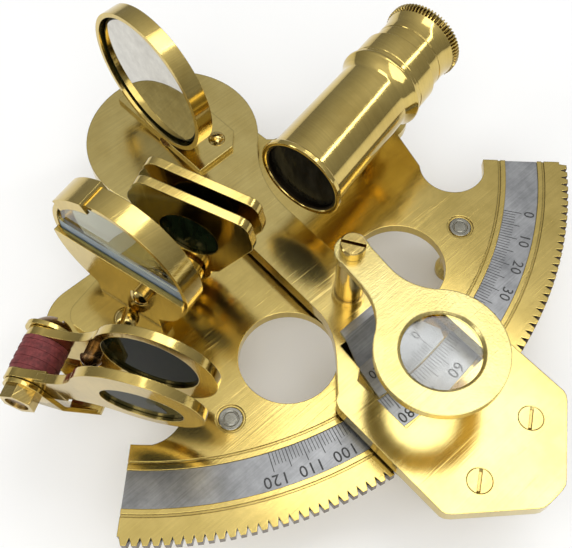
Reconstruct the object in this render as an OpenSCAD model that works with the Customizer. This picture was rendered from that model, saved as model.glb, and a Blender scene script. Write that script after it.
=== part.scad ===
// Brass pocket sextant with a toothed limb, index arm, two mirrors, shades and telescope.
// Millimetres. +Z is up, the index arm turns about the Z axis and rests along -Y,
// the telescope is on the +X side and the feet stand on z = 0.

/* [Limb and frame] */
// Radius at the tips of the limb teeth
limb_r = 80; // [78:0.5:84]
// Number of limb teeth in a full circle
limb_teeth = 283; // [240:1:320]
// Depth of the limb teeth
tooth_depth = 1.4; // [1:0.1:1.8]
// Half angle of the limb
limb_half_angle = 45.4; // [42:0.2:50]
// Radius of the inner edge of the limb
limb_inner_r = 63; // [60:0.5:64]
// Thickness of the frame plate
plate_t = 2; // [1.6:0.1:3]
// Radius of the frame's head round the pivot
frame_head_r = 17; // [16:0.5:19]
// Radius of the rounded ends of the cross bar
lobe_r = 7.9; // [7:0.1:9]
// Distance of the cross bar's end centres from the middle
lobe_x = 36; // [34:0.5:38]
// Distance of the cross bar's centre line from the pivot
lobe_y = 20.2; // [19:0.2:22]
// Radius of the scallops between the cross bar and the limb
scallop_r = 6.6; // [5:0.2:7]
// Radius of the two round windows in the frame
window_r = 9; // [7:0.5:10]
// Length of the legs below the frame plate
leg_len = 15; // [12:0.5:22]
// Radius of the legs
leg_r = 2.9; // [2.5:0.1:3.2]

/* [Scale] */
// Width of the rim outside the silvered scale
rim_w = 6; // [5:0.1:7]
// Width of the silvered scale
scale_w = 6.5; // [5.5:0.1:7.5]
// Thickness of the scale strip
scale_t = 0.4; // [0.3:0.05:0.6]
// Depth of the seat of the scale strip
scale_seat = 0.65; // [0.4:0.05:1]

/* [Index arm] */
// Height of the arm's underside above the frame plate
arm_gap = 1; // [0.8:0.1:1.6]
// Thickness of the index arm
arm_t = 3.1; // [2:0.1:4]
// Radius of the arm's head
arm_head_r = 17.1; // [16:0.1:18]
// Width of the arm's bar
bar_w = 10.6; // [9:0.2:12]
// Width of the shield at the arm's end
shield_w = 30.8; // [28:0.2:32]
// Distance of the shield's tip from the pivot
shield_tip = 99.6; // [97:0.2:104]
// Thickness of the vernier plate
vernier_t = 0.6; // [0.4:0.1:1]
// Angle from the arm's centre line to either end of the vernier
vernier_half_angle = 7.2; // [6.6:0.2:8]

/* [Fine drive] */
// Number of pinion teeth
pinion_teeth = 12; // [10:1:14]
// Radius of the drive knob
knob_r = 12; // [9:0.5:14]
// Thickness of the drive knob
knob_t = 3.4; // [2.5:0.1:5]

/* [Index mirror] */
// Outer radius of the index mirror's cell
index_cell_r = 14.4; // [12:0.2:15]
// Depth of the index mirror's cell
index_cell_depth = 3.4; // [2.8:0.1:5]
// Thickness of the bracket sheets
sheet_t = 1; // [0.8:0.1:1.4]

/* [Horizon mirror] */
// Outer radius of the horizon mirror's cell
horizon_cell_r = 14.2; // [12:0.2:15]
// Depth of the horizon mirror's cell
horizon_cell_depth = 4.2; // [3.4:0.1:5]
// Wall of the mirror cells
cell_wall = 0.9; // [0.7:0.1:1.4]
// Thickness of the mirror glasses
mirror_t = 1.8; // [1.2:0.1:2]

/* [Index shades] */
// Greatest width of an index shade
index_shade_w = 22.4; // [20:0.2:24]
// Height of an index shade above its pin
index_shade_h = 20.5; // [18:0.2:23]
// Radius of the foot of an index shade
index_shade_foot_r = 4.8; // [4.2:0.1:5]
// Thickness of an index shade
index_shade_t = 1.6; // [1.2:0.1:2]
// Distance between the two index shades
index_shade_pitch = 4; // [3.4:0.1:5]
// Radius of the opening of an index shade
index_shade_glass_r = 5.4; // [4:0.2:6]

/* [Horizon shades] */
// Radius of the round end of a horizon shade
horizon_shade_r = 10.8; // [9:0.2:11]
// Distance from the rod to the centre of the rear shade
rear_shade_len = 21; // [20:0.2:24]
// Distance from the rod to the centre of the front shade
front_shade_len = 23.2; // [20:0.2:24]
// Radius of the shade arm's end at the rod
shade_eye_r = 3.9; // [3.6:0.1:5]
// Thickness of a horizon shade
horizon_shade_t = 1.6; // [1.4:0.1:2]
// Radius of the opening of the rear horizon shade
rear_glass_r = 8.4; // [6:0.2:9]
// Radius of the opening of the front horizon shade
front_glass_r = 6.8; // [4:0.2:8]
// Outer radius of the fibre washers
washer_r = 4; // [3.4:0.1:4.4]
// Thickness of one fibre washer
washer_t = 0.76; // [0.6:0.02:0.9]
// Number of fibre washers
washer_count = 8; // [5:1:9]
// Radius of the shade rod
rod_r = 2; // [1.5:0.1:2.4]

/* [Telescope] */
// Radius of the main tube at the objective
tube_r = 7.75; // [7.6:0.05:8]
// Radius of the main tube in front of the collar
tube_end_r = 7.25; // [7:0.05:7.6]
// Radius of the lip round the objective
lip_r = 8.35; // [8.1:0.05:8.8]
// Length of the main tube with its collar
tube_len = 26.4; // [24:0.2:30]
// Largest radius of the collar
collar_r = 8.4; // [8.3:0.1:9]
// Outer radius of the sleeve behind the collar
sleeve_r = 7.9; // [7.6:0.1:8]
// Length of the visible sleeve
sleeve_len = 5.8; // [5:0.2:9]
// Radius of the eyepiece's draw tube
draw_r = 7.2; // [6.8:0.1:7.3]
// Length of the eyepiece outside the sleeve
eyepiece_len = 9.3; // [8:0.1:12]
// Radius of the knurled eyepiece flange
flange_r = 7.9; // [7.8:0.1:9]
// Height of the telescope's axis above the frame plate
axis_h = 18.6; // [18:0.2:22]

/* [Magnifier] */
// Outer radius of the magnifier's ring
lens_ring_r = 11; // [9:0.5:11.5]
// Radius of the magnifier's opening
lens_r = 6.6; // [5:0.2:8]
// Distance from the magnifier's post to the lens
magnifier_len = 22.9; // [20:0.5:24]
// Thickness of the magnifier's arm
magnifier_t = 1.6; // [1.2:0.1:2.2]
// Height of the magnifier's arm above the frame plate
magnifier_h = 17.4; // [15:0.2:19]

/* [Hidden] */

$fn = 96;

// Running clearance of a pin in its hole, and the gap between parts that turn side by side
fit = 0.05;
side_gap = 0.05;
// Height of the top of the frame plate above the feet
top = leg_len + plate_t;
arm_top = arm_gap + arm_t;

brass = [0.83, 0.68, 0.32];
dark_brass = [0.66, 0.5, 0.2];
silver = [0.72, 0.72, 0.74];
shade_glass = [0.08, 0.12, 0.07];
clear_glass = [0.8, 0.88, 0.9];
fibre_red = [0.58, 0.2, 0.2];

// Teeth: the limb's pitch, its gaps and the pinion that runs in them
tooth_pitch = 360 / limb_teeth;
tooth_count = floor(2 * limb_half_angle / tooth_pitch);
limb_root_r = limb_r - tooth_depth;
scale_out_r = limb_r - rim_w;
scale_in_r = scale_out_r - scale_w;
limb_pitch_r = limb_r - tooth_depth / 2;
gear_module = 2 * limb_pitch_r / limb_teeth;
pinion_pitch_r = gear_module * pinion_teeth / 2;
mesh_backlash = 0.08;
pinion_y = limb_pitch_r + pinion_pitch_r + mesh_backlash;
pinion_tip_r = pinion_pitch_r + 0.35;
// Half a tooth's turn where a tooth of the limb, and not a gap, is on the pinion's line
mesh_phase = tooth_count % 2 / 2;
pinion_root_r = pinion_pitch_r - 0.85;
shaft_r = 1.5;
block_inner_r = limb_r + 0.4;
block_floor = 6.5;
knob_gap = 0.4;

// Legs: two under the limb, riveted through the plate
leg_x = 29.3;
leg_y = 52.2;
rivet_r = 2.15;

// Bush in the frame and the washer and nut under it
bush_r = 5;
bush_floor = plate_t + 2 + side_gap;
spindle_washer_t = 0.8;
spindle_nut_t = 2.6;
spindle_end = bush_floor + spindle_washer_t + spindle_nut_t + 1.15;
// Cap over the pivot: its outside, the seat on the bush, the room inside and its floor
cap_r = 7.3;
cap_seat_r = 6.4;
cap_bore = 5.8;
cap_seat_len = 2.8;
cap_floor = top - spindle_end - 0.6;

// Arm outline
bar_half = bar_w / 2;
neck_fillet_r = 22;
neck_fillet_y = sqrt(pow(arm_head_r + neck_fillet_r, 2) - pow(bar_half + neck_fillet_r, 2));
flare_start = 49.5;
shield_top = 62.4;
shield_side = 88.5;
shield_corner_r = 2.6;
tip_half = 3.5;
window_top = scale_in_r - 11.2;
window_shoulder = window_top + 5.9;
window_left = 9.5;
window_right = 10.7;
window_bottom = scale_out_r + 0.8;
vernier_flange = window_top - 1.9;
vernier_bend = window_top + 4.3;
vernier_gap = 0.15;
arm_screws = [[7.4, -87.9], [-7.1, -89.3]];
screw_head_r = 2.15;

// Index mirror: its cell stands on a bracket across the arm's head
index_mirror_az = 91.9;
index_mirror_pos = [-2.1, 1.7];
index_foot = [0, 11.3];
index_cell_front = -0.2;
index_cell_h = sheet_t + 0.2 + index_cell_r;
index_foot_half = 12.6;
index_foot_chamfer = 2.8;
index_screw = [7.5, 9];

// Horizon mirror on the left end of the cross bar
horizon_az = 103.8;
horizon_pos = [-28.1, -23.6];
horizon_centre_h = 16.2;
horizon_foot_half = 9;
horizon_foot_len = 9.5;
horizon_foot_round = 3.4;
horizon_plate_edge = -0.4;
horizon_foot_screw = [-0.7, 3.2];
adjuster_at = [-5.2, -4];
clip_turn = -34;
silver_edge = 1.6;
silver_t = 0.3;
horizon_lip_t = 1.9;
horizon_glass_z = horizon_cell_depth - horizon_lip_t - mirror_t;

// Index shades: the pin's place, the plates' direction and their lean
index_shade_az = -64;
index_shade_pos = [-17.23, -27.27];
index_pin_h = 9.3;
index_shade_lean = 9.5;
index_glass_h = 10.3;
index_pin_r = 1.2;
index_ear_t = 1.2;
index_foot_screw = [-8.3, 0];

// Horizon shades: the rod's place, the plates' direction and their lift
horizon_shade_az = -60;
rod_pos = [-44.7, -23.5];
rod_h = 8.5;
rear_lift = 13;
front_lift = 22.6;
rear_glass_at = [-0.6, 0.9];
front_glass_at = [-0.3, -1.6];
front_lean = 6.5;
lean_start = 5;
glass_seat = 1;
glass_rim = 0.6;
shade_neck = 3.7;
shade_fillet_r = 11;
stop_at = [10.3, 1.6];
ear_r = 3.6;
far_ear_r = 4.6;
ear_t = 0.8;
ear_gap = 0.1;
nut_len = 2.4;
nut_flats = 5.4;
washer_gap = 0.02;
stack_len = washer_count * (washer_t + washer_gap) - washer_gap;
front_shade_z = horizon_shade_t + stack_len + 2 * side_gap;
far_ear_z = -horizon_shade_t / 2 - ear_gap - ear_t;
near_ear_z = front_shade_z + horizon_shade_t / 2 + ear_gap;
bracket_base_t = 1;
bracket_inboard = -14;
strap_in = 4.3;
strap_out = 10;
strap_bend = 4.2;
strap_lean = 3.4;
bracket_screw_x = 1;
bracket_screw_z = [-5.5, -11];

// Telescope: the objective's place and the tube's direction
telescope_az = 11.9;
telescope_pos = [4.64, -32.72];
lip_len = 1;
tube_bore = 6.6;
front_lens_r = 7.1;
front_lens_t = 1.8;
lens_front = 0.6;
collar_start = tube_len - 3.4;
collar_full = tube_len - 0.8;
sleeve_seat = 1;
post_s = tube_len + 3;
post_u = 3.3;
post_r = 2.8;
draw_inside = 4.8;
flange_t = 1.4;

// Magnifier
magnifier_pos = [1.3, -49.6];
magnifier_turn = -5.8;
magnifier_eye_r = 3.1;
magnifier_neck = 2.9;
magnifier_fillet_r = 10;
magnifier_post_r = 2.6;
magnifier_pin_r = 1.3;

// Shared outlines and solids

// Sector of a ring between two radii, centred on -Y
module ring_sector(inner_r, outer_r, half_angle) {
  reach = 2 * outer_r;
  intersection() {
    difference() {
      circle(r = outer_r, $fn = 360);
      circle(r = inner_r, $fn = 360);
    }
    polygon([
      [0, 0],
      [-reach * sin(half_angle), -reach * cos(half_angle)],
      [reach * sin(half_angle), -reach * cos(half_angle)]
    ]);
  }
}

// Small and large circle joined by a neck that flares into the large one, the small one at the origin
module necked_link(r1, r2, len, neck, fillet_r) {
  join = 0.02;
  start = len - sqrt(pow(r2 + fillet_r, 2) - pow(neck + fillet_r, 2));
  reach = 0.96 * r2 / (r2 + fillet_r);
  touch = [len + (start - len) * reach, (neck + fillet_r) * reach];
  circle(r = r1);
  translate([len, 0]) circle(r = r2);
  difference() {
    polygon([[0, -neck], [start, -neck], [touch[0], -touch[1]], touch, [start, neck], [0, neck]]);
    for (side = [-1, 1]) translate([start, side * (neck + fillet_r)]) circle(r = fillet_r - join);
  }
}

// Rectangle with rounded corners on its far side, from y = 0 to y = len
module rounded_tongue(half, len, r) {
  polygon([[-half, 0], [half, 0], [half, len - r], [half - r, len], [-half + r, len], [-half, len - r]]);
  for (side = [-1, 1]) translate([side * (half - r), len - r]) circle(r = r);
}

// Puts a drawing in an upright plane: x along the azimuth, y up, extruded along the plane's normal
module upright(pos, h, az) {
  translate([pos[0], pos[1], top + h]) rotate([90, 0, az]) children();
}

// Slotted cheese head with its underside on z = 0
module slotted_head(r, h) {
  slot_w = 0.28 * r;
  difference() {
    union() {
      cylinder(r = r, h = h - 0.25);
      translate([0, 0, h - 0.25]) cylinder(r1 = r, r2 = r - 0.25, h = 0.25);
    }
    translate([-2 * r, -slot_w / 2, 0.55 * h]) cube([4 * r, slot_w, h]);
  }
}

// Round slotted head, a slice of a ball
module round_head(r, h) {
  ball_r = (r * r + h * h) / (2 * h);
  slot_w = 0.3 * r;
  difference() {
    intersection() {
      translate([0, 0, h - ball_r]) sphere(r = ball_r);
      cylinder(r = r, h = h);
    }
    translate([-2 * r, -slot_w / 2, 0.5 * h]) cube([4 * r, slot_w, h]);
  }
}

// Shallow cell with a floor and a thin lip, open towards -z
module mirror_cell(r, depth, floor_t, hole_r) {
  difference() {
    cylinder(r = r, h = depth);
    translate([0, 0, -1]) cylinder(r = r - cell_wall, h = depth - floor_t + 1);
    translate([0, 0, depth - floor_t - 1]) cylinder(r = hole_r, h = floor_t + 2);
  }
}

// Frame and feet

module frame_outline() {
  lower = lobe_y + lobe_r;
  upper = lobe_y - lobe_r;
  web_r = limb_inner_r + 1;
  circle(r = frame_head_r);
  translate([-lobe_x, -lower]) square([2 * lobe_x, 2 * lobe_r]);
  for (side = [-1, 1]) translate([side * lobe_x, -lobe_y]) circle(r = lobe_r);
  polygon([[15.2, -7], [-15.2, -7], [-15.5, -10.6], [-16.6, -11.6], [-19, -upper], [-19, -lobe_y],
    [19, -lobe_y],
    [19, -upper], [16.6, -11.6], [15.5, -10.6]]);
  difference() {
    polygon([
      [lobe_x + 0.4, -lobe_y - 2], [-lobe_x - 0.4, -lobe_y - 2], [-lobe_x - 0.4, -lower], [-33, -40.5],
      [-39, -41],
      [-44.6, -44], web_r * [-sin(limb_half_angle - 1), -cos(limb_half_angle - 1)],
      (web_r + 2) * [-sin(22), -cos(22)], [0, -web_r - 2], (web_r + 2) * [sin(22), -cos(22)],
      web_r * [sin(limb_half_angle - 1), -cos(limb_half_angle - 1)], [44.6, -44], [39, -41], [33, -40.5],
      [lobe_x + 0.4, -lower]
    ]);
    for (side = [-1, 1]) translate([side * 39, -41]) circle(r = scallop_r);
  }
  ring_sector(limb_inner_r, limb_root_r - 0.05, limb_half_angle);
}

// Flat lands with V gaps between them, half a pitch wide at the tips
module limb_teeth_outline() {
  first = -90 - tooth_count / 2 * tooth_pitch;
  polygon(concat(
    [for (i = [0 : tooth_count - 1])
      for (step = [[limb_root_r, 0], [limb_r, 0.25], [limb_r, 0.75]])
        let (a = first + (i + step[1]) * tooth_pitch) [step[0] * cos(a), step[0] * sin(a)]],
    [for (i = [0 : 24])
      let (a = first + tooth_count * tooth_pitch * (1 - i / 24)) (limb_root_r - 2) * [cos(a), sin(a)]]
  ));
}

module frame() {
  groove_w = 0.5;
  groove_depth = 0.25;
  color(brass) translate([0, 0, leg_len]) difference() {
    linear_extrude(plate_t) {
      frame_outline();
      limb_teeth_outline();
    }
    for (side = [-1, 1]) translate([side * 14.1, -50.2, -1]) cylinder(r = window_r, h = plate_t + 2);
    for (spot = leg_spots()) translate([spot[0], spot[1], -1]) cylinder(r = rivet_r + fit, h = plate_t + 2);
    for (spot = leg_spots()) translate([spot[0], spot[1], plate_t - groove_depth])
      cylinder(r = rivet_r + 0.45, h = 1);
    translate([0, 0, -1]) cylinder(r = bush_r + fit, h = plate_t + 2);
    translate([0, 0, plate_t - scale_seat]) linear_extrude(1)
      ring_sector(scale_in_r, scale_out_r, limb_half_angle + 2);
    for (r = [scale_in_r - 1.5, scale_out_r + 0.9]) translate([0, 0, plate_t - groove_depth])
      linear_extrude(1) ring_sector(r, r + groove_w, limb_half_angle + 2);
    translate([0, 0, -leg_len]) {
      upright(rod_pos, -plate_t - 1, horizon_shade_az) translate([-9, 0, far_ear_z - fit])
        cube([18, plate_t + 2, 12]);
      bracket_screw_holes();
    }
  }
}

function leg_spots() = [[leg_x, -leg_y], [-leg_x, -leg_y]];

// Tapped holes of the screws that hold the brackets and the telescope's post
module bracket_screw_holes() {
  for (z = bracket_screw_z) place_on_rod_line(bracket_screw_x, z, -plate_t - 1)
    cylinder(r = 1 + fit, h = 2.2);
  place_on_shade_line(index_foot_screw[0], index_foot_screw[1], -1.4) cylinder(r = 1 + fit, h = 3);
  place_on_horizon_foot(horizon_foot_screw[0], horizon_foot_screw[1], -1.4) cylinder(r = 1 + fit, h = 3);
  place_on_telescope(post_s, post_u, -plate_t - 1) cylinder(r = 1.3 + fit, h = plate_t + 2);
}

module place_on_rod_line(x, z, h) {
  upright(rod_pos, h, horizon_shade_az) translate([x, 0, z]) rotate([-90, 0, 0]) children();
}

module place_on_shade_line(x, z, h) {
  upright(index_shade_pos, h, index_shade_az) translate([x, 0, z]) rotate([-90, 0, 0]) children();
}

module place_on_horizon_foot(a, b, h) {
  upright(horizon_pos, h, horizon_az) translate([a, 0, -b]) rotate([-90, 0, 0]) children();
}

module place_on_telescope(s, u, h) {
  translate([telescope_pos[0], telescope_pos[1], top + h]) rotate([0, 0, telescope_az])
    translate([s, u, 0]) children();
}

module scale_strip() {
  color(silver) translate([0, 0, top - scale_seat]) linear_extrude(scale_t)
    ring_sector(scale_in_r + fit, scale_out_r - fit, limb_half_angle);
}

// Turned legs with a foot, a shoulder under the plate and a riveted end through it
module legs() {
  color(dark_brass) for (spot = leg_spots()) translate([spot[0], spot[1], 0]) rotate_extrude() polygon([
    [0, 0], [leg_r - 0.3, 0], [leg_r, 0.3], [leg_r, 1.6], [leg_r - 0.8, 2.8],
    [leg_r - 1, 5], [leg_r - 0.7, leg_len - 3], [leg_r, leg_len - 2], [leg_r, leg_len],
    [rivet_r, leg_len], [rivet_r, top - 0.1], [0, top - 0.1]
  ]);
}

// Pivot of the arm

module centre_bush() {
  color(dark_brass) translate([0, 0, leg_len]) difference() {
    union() {
      cylinder(r = bush_r, h = plate_t);
      translate([0, 0, -2]) cylinder(r = cap_r, h = 2);
      translate([0, 0, -2 - cap_seat_len]) cylinder(r = cap_seat_r, h = cap_seat_len + 1);
    }
    translate([0, 0, -3]) cylinder(r = 3 + fit, h = plate_t + 4);
    translate([0, 0, -3 - cap_seat_len]) cylinder(r = cap_bore, h = cap_seat_len + 1);
  }
}

// Turned cap that screws onto the bush over the pivot's nut, its end is the third foot
module pivot_cap() {
  seat = leg_len - 2;
  color(dark_brass) rotate_extrude() polygon([
    [0, 0], [4.5, 0], [4.8, 0.3], [4.8, 1.6], [3.8, 2.8], [3.5, 4.2],
    [cap_r - 1.2, cap_floor - 0.6], [cap_r, cap_floor + 0.8], [cap_r, seat],
    [cap_seat_r + fit, seat], [cap_seat_r + fit, seat - cap_seat_len - 0.1],
    [cap_bore, seat - cap_seat_len - 0.1], [cap_bore, cap_floor], [0, cap_floor]
  ]);
}

module index_spindle() {
  color(dark_brass) translate([0, 0, top]) rotate_extrude() polygon([
    [0, -spindle_end], [1.9, -spindle_end], [2, 0.1 - spindle_end], [2, -bush_floor], [3, -bush_floor],
    [3, side_gap], [6, side_gap], [6, arm_gap], [2.5, arm_gap], [2.5, arm_top], [0, arm_top]
  ]);
}

module spindle_washer() {
  color(dark_brass) translate([0, 0, top - bush_floor - spindle_washer_t]) washer(5, 2, spindle_washer_t);
}

module spindle_nut() {
  color(dark_brass) translate([0, 0, top - bush_floor - spindle_washer_t - spindle_nut_t]) difference() {
    cylinder(r = 3.9, h = spindle_nut_t, $fn = 6);
    translate([0, 0, -1]) cylinder(r = 2 + fit, h = spindle_nut_t + 2);
  }
}

// Index arm

// The arm's right side from the head to the tip, mirrored for the left one
module arm_outline() {
  half = shield_w / 2;
  corner = [half - shield_corner_r, -shield_top - shield_corner_r];
  touch = 0.96 * arm_head_r / (arm_head_r + neck_fillet_r) * [bar_half + neck_fillet_r, -neck_fillet_y];
  side = concat(
    [[touch[0], touch[1] + 4], touch, [bar_half, -neck_fillet_y], [bar_half, -flare_start],
      [5.8, -51.6], [6.6, -53.6], [7.8, -55.6], [9.6, -57.9]],
    [for (a = [70 : -14 : 0]) corner + shield_corner_r * [cos(a), sin(a)]],
    [[half, -shield_side], [half - 0.3, -shield_side - 0.8], [half - 1, -shield_side - 1.6],
      [tip_half, -shield_tip + 0.7], [tip_half - 0.8, -shield_tip + 0.2], [tip_half - 2, -shield_tip]]
  );
  last = len(side) - 1;
  circle(r = arm_head_r);
  difference() {
    polygon(concat([for (p = side) [-p[0], p[1]]], [for (i = [last : -1 : 0]) side[i]]));
    for (k = [-1, 1]) translate([k * (bar_half + neck_fillet_r), -neck_fillet_y])
      circle(r = neck_fillet_r - 0.02);
  }
}

module arm_window() {
  polygon([
    [-7.1, -window_top], [7.1, -window_top], [7.6, -window_shoulder], [window_right, -window_shoulder],
    [window_right, -window_bottom], [-window_left, -window_bottom], [-window_left, -window_shoulder - 0.9],
    [-7.6, -window_shoulder + 0.4]
  ]);
}

module index_arm() {
  color(brass) translate([0, 0, top + arm_gap]) difference() {
    linear_extrude(arm_t) difference() {
      arm_outline();
      arm_window();
    }
    translate([0, 0, -1]) cylinder(r = 2.5 + fit, h = arm_t + 2);
    for (spot = arm_screws) translate([spot[0], spot[1], -1]) {
      cylinder(r = 1.2, h = arm_t + 2);
      translate([0, 0, arm_t - 0.9 + 1]) cylinder(r1 = 1.2, r2 = screw_head_r + 0.1, h = 0.91);
    }
    translate([magnifier_pos[0], magnifier_pos[1], -1]) cylinder(r = 1.5 + fit, h = arm_t + 2);
    for (spot = index_screw_spots()) translate([spot[0], spot[1], arm_t - 2])
      cylinder(r = 0.9 + fit, h = 3);
  }
}

function index_screw_spots() = [for (side = [-1, 1])
  let (a = index_mirror_az - 90, x = index_screw[0], y = side * index_screw[1])
  [index_mirror_pos[0] + x * cos(a) - y * sin(a), index_mirror_pos[1] + x * sin(a) + y * cos(a)]];

// Thin plate that lies on the bar's end, slopes down through the window and rides over the scale's edge
module vernier_plate() {
  low = vernier_gap;
  fold = -window_top + 0.4;
  reach = shield_w;
  color(silver) translate([0, 0, top]) intersection() {
    rotate([90, 0, 90]) translate([0, 0, -reach]) linear_extrude(2 * reach) polygon([
      [-vernier_flange, arm_top], [-vernier_flange, arm_top + vernier_t], [fold, arm_top + vernier_t],
      [-vernier_bend, low + vernier_t], [-limb_r, low + vernier_t], [-limb_r, low],
      [-vernier_bend + 0.35, low], [fold - 0.3, arm_top]
    ]);
    translate([0, 0, -5]) linear_extrude(20) intersection() {
      circle(r = scale_in_r - 0.1, $fn = 360);
      polygon([
        [0, 10], [-vernier_half_angle - 5, -100], [vernier_half_angle + 8, -100]
      ]);
      polygon([
        [-bar_half - 0.1, -vernier_flange], [bar_half + 0.1, -vernier_flange],
        [scale_in_r * tan(vernier_half_angle + 0.9), -scale_in_r + 2.2],
        [scale_in_r * tan(vernier_half_angle) - 0.6, -scale_in_r - 1],
        [-scale_in_r * tan(vernier_half_angle - 0.4), -scale_in_r - 1]
      ]);
    }
  }
}

// Block under the shield that carries the pinion and reaches under the limb's edge
module pinion_block() {
  under_r = limb_r - 3.4;
  foot = limb_r + 13.4;
  shoulder = limb_r + 7;
  color(dark_brass) translate([0, 0, top]) difference() {
    translate([0, 0, -block_floor]) linear_extrude(block_floor + arm_gap) difference() {
      polygon([
        [-12, -limb_inner_r], [12, -limb_inner_r], [12, -shoulder], [4, -foot], [-4, -foot],
        [-12, -shoulder]
      ]);
      circle(r = under_r, $fn = 360);
    }
    translate([0, 0, -plate_t - 0.3]) linear_extrude(block_floor + 5) circle(r = block_inner_r, $fn = 360);
    translate([0, -pinion_y, -plate_t - 0.5]) cylinder(r = pinion_tip_r + 0.5, h = plate_t + 0.9);
    translate([0, -pinion_y, -block_floor - 1]) cylinder(r = shaft_r + fit, h = 10);
    for (spot = arm_screws) translate([spot[0], spot[1], -3]) cylinder(r = 1.1 + fit, h = 6);
  }
}

// Countersunk slotted screws, flush with the shield
module block_screws() {
  color(brass) for (spot = arm_screws) translate([spot[0], spot[1], top]) difference() {
    union() {
      translate([0, 0, -2.8]) cylinder(r = 1.1, h = arm_top + 2);
      translate([0, 0, arm_top - 0.9]) cylinder(r1 = 1.1, r2 = screw_head_r, h = 0.9);
    }
    rotate([0, 0, 35]) translate([-4, -0.3, arm_top - 0.4]) cube([8, 0.6, 2]);
  }
}

// Narrow teeth that clear the limb's V gaps, on a shaft that turns in the block
module pinion() {
  half_root = 0.36;
  half_pitch = 0.17;
  half_tip = 0.05;
  color(dark_brass) translate([0, -pinion_y, top]) {
    translate([0, 0, -plate_t]) linear_extrude(plate_t) {
      circle(r = pinion_root_r);
      for (i = [0 : pinion_teeth - 1]) rotate(90 + (i + mesh_phase) * 360 / pinion_teeth) polygon([
        [0, -half_root], [pinion_root_r, -half_root], [pinion_pitch_r, -half_pitch],
        [pinion_tip_r, -half_tip],
        [pinion_tip_r, half_tip], [pinion_pitch_r, half_pitch], [pinion_root_r, half_root], [0, half_root]
      ]);
    }
    translate([0, 0, -block_floor - knob_gap - 1])
      cylinder(r = shaft_r, h = block_floor + knob_gap + 1 - plate_t + 0.1);
  }
}

module pinion_knob() {
  rim = 0.35;
  color(brass) translate([0, -pinion_y, top - block_floor - knob_gap - knob_t]) difference() {
    union() {
      translate([0, 0, rim]) cylinder(r = knob_r, h = knob_t - 2 * rim);
      cylinder(r1 = knob_r - rim, r2 = knob_r, h = rim);
      translate([0, 0, knob_t - rim]) cylinder(r1 = knob_r, r2 = knob_r - rim, h = rim);
    }
    translate([0, 0, knob_t - 1]) cylinder(r = shaft_r + fit, h = 2);
    translate([0, 0, -1]) cylinder(r = 1.1 + fit, h = knob_t + 2);
    translate([0, 0, -1]) cylinder(r = knob_r - 3, h = 1.4);
  }
}

module knob_screw() {
  color(brass) translate([0, -pinion_y, top - block_floor - knob_gap - knob_t + 0.4]) {
    mirror([0, 0, 1]) slotted_head(2.1, 0.9);
    cylinder(r = 1.1, h = knob_t - 1.4);
  }
}

// Index mirror

module on_index_mirror() {
  translate([index_mirror_pos[0], index_mirror_pos[1], top + arm_top])
    rotate([0, 0, index_mirror_az - 90]) children();
}

module index_mirror_bracket() {
  x0 = index_foot[0];
  x1 = index_foot[1];
  y1 = index_foot_half;
  c = index_foot_chamfer;
  back = index_cell_front + index_cell_depth + fit;
  color(brass) on_index_mirror() {
    difference() {
      linear_extrude(sheet_t) polygon([
        [x0, -y1], [x1 - c, -y1], [x1, -y1 + c], [x1, y1 - c], [x1 - c, y1], [x0, y1]
      ]);
      for (side = [-1, 1]) translate([index_screw[0], side * index_screw[1], -1]) cylinder(r = 1, h = 4);
    }
    translate([back, 0, 0]) rotate([90, 0, 90]) linear_extrude(sheet_t) {
      translate([-7, 0]) square([14, index_cell_h - 2]);
      translate([0, index_cell_h - 2]) circle(r = 7);
    }
  }
}

module index_mirror_screws() {
  color(brass) on_index_mirror() for (side = [-1, 1])
    translate([index_screw[0], side * index_screw[1], 0]) {
    translate([0, 0, sheet_t]) rotate([0, 0, 20 + 50 * side]) round_head(1.7, 1.2);
    translate([0, 0, -1.9]) cylinder(r = 0.9, h = 3);
  }
}

module index_mirror_cell() {
  color(brass) on_index_mirror() translate([index_cell_front, 0, index_cell_h]) rotate([90, 0, 90])
    mirror_cell(index_cell_r, index_cell_depth, 0.7, 3);
}

module index_mirror_glass() {
  color(silver) on_index_mirror() translate([index_cell_front, 0, index_cell_h]) rotate([90, 0, 90])
    translate([0, 0, index_cell_depth - 0.7 - mirror_t])
      cylinder(r = index_cell_r - cell_wall - fit, h = mirror_t);
}

// Magnifier

module magnifier_post() {
  color(brass) translate([magnifier_pos[0], magnifier_pos[1], top]) {
    translate([0, 0, arm_gap + 0.3]) cylinder(r = 1.5, h = arm_t);
    translate([0, 0, arm_top]) difference() {
      union() {
        cylinder(r = magnifier_post_r, h = magnifier_h - arm_top - side_gap);
        cylinder(r = magnifier_post_r + 0.5, h = 1.2);
      }
      translate([0, 0, magnifier_h - arm_top - 3]) cylinder(r = magnifier_pin_r - 0.3 + fit, h = 4);
    }
  }
}

module magnifier_screw() {
  color(brass) translate([magnifier_pos[0], magnifier_pos[1], top + magnifier_h]) {
    translate([0, 0, -2.8]) cylinder(r = magnifier_pin_r - 0.3, h = 3);
    translate([0, 0, -side_gap]) cylinder(r = magnifier_pin_r, h = magnifier_t + 2 * side_gap);
    translate([0, 0, magnifier_t + side_gap]) rotate([0, 0, -58]) slotted_head(2.25, 2.2);
  }
}

module on_magnifier() {
  translate([magnifier_pos[0], magnifier_pos[1], top + magnifier_h])
    rotate([0, 0, -90 + magnifier_turn]) children();
}

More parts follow.
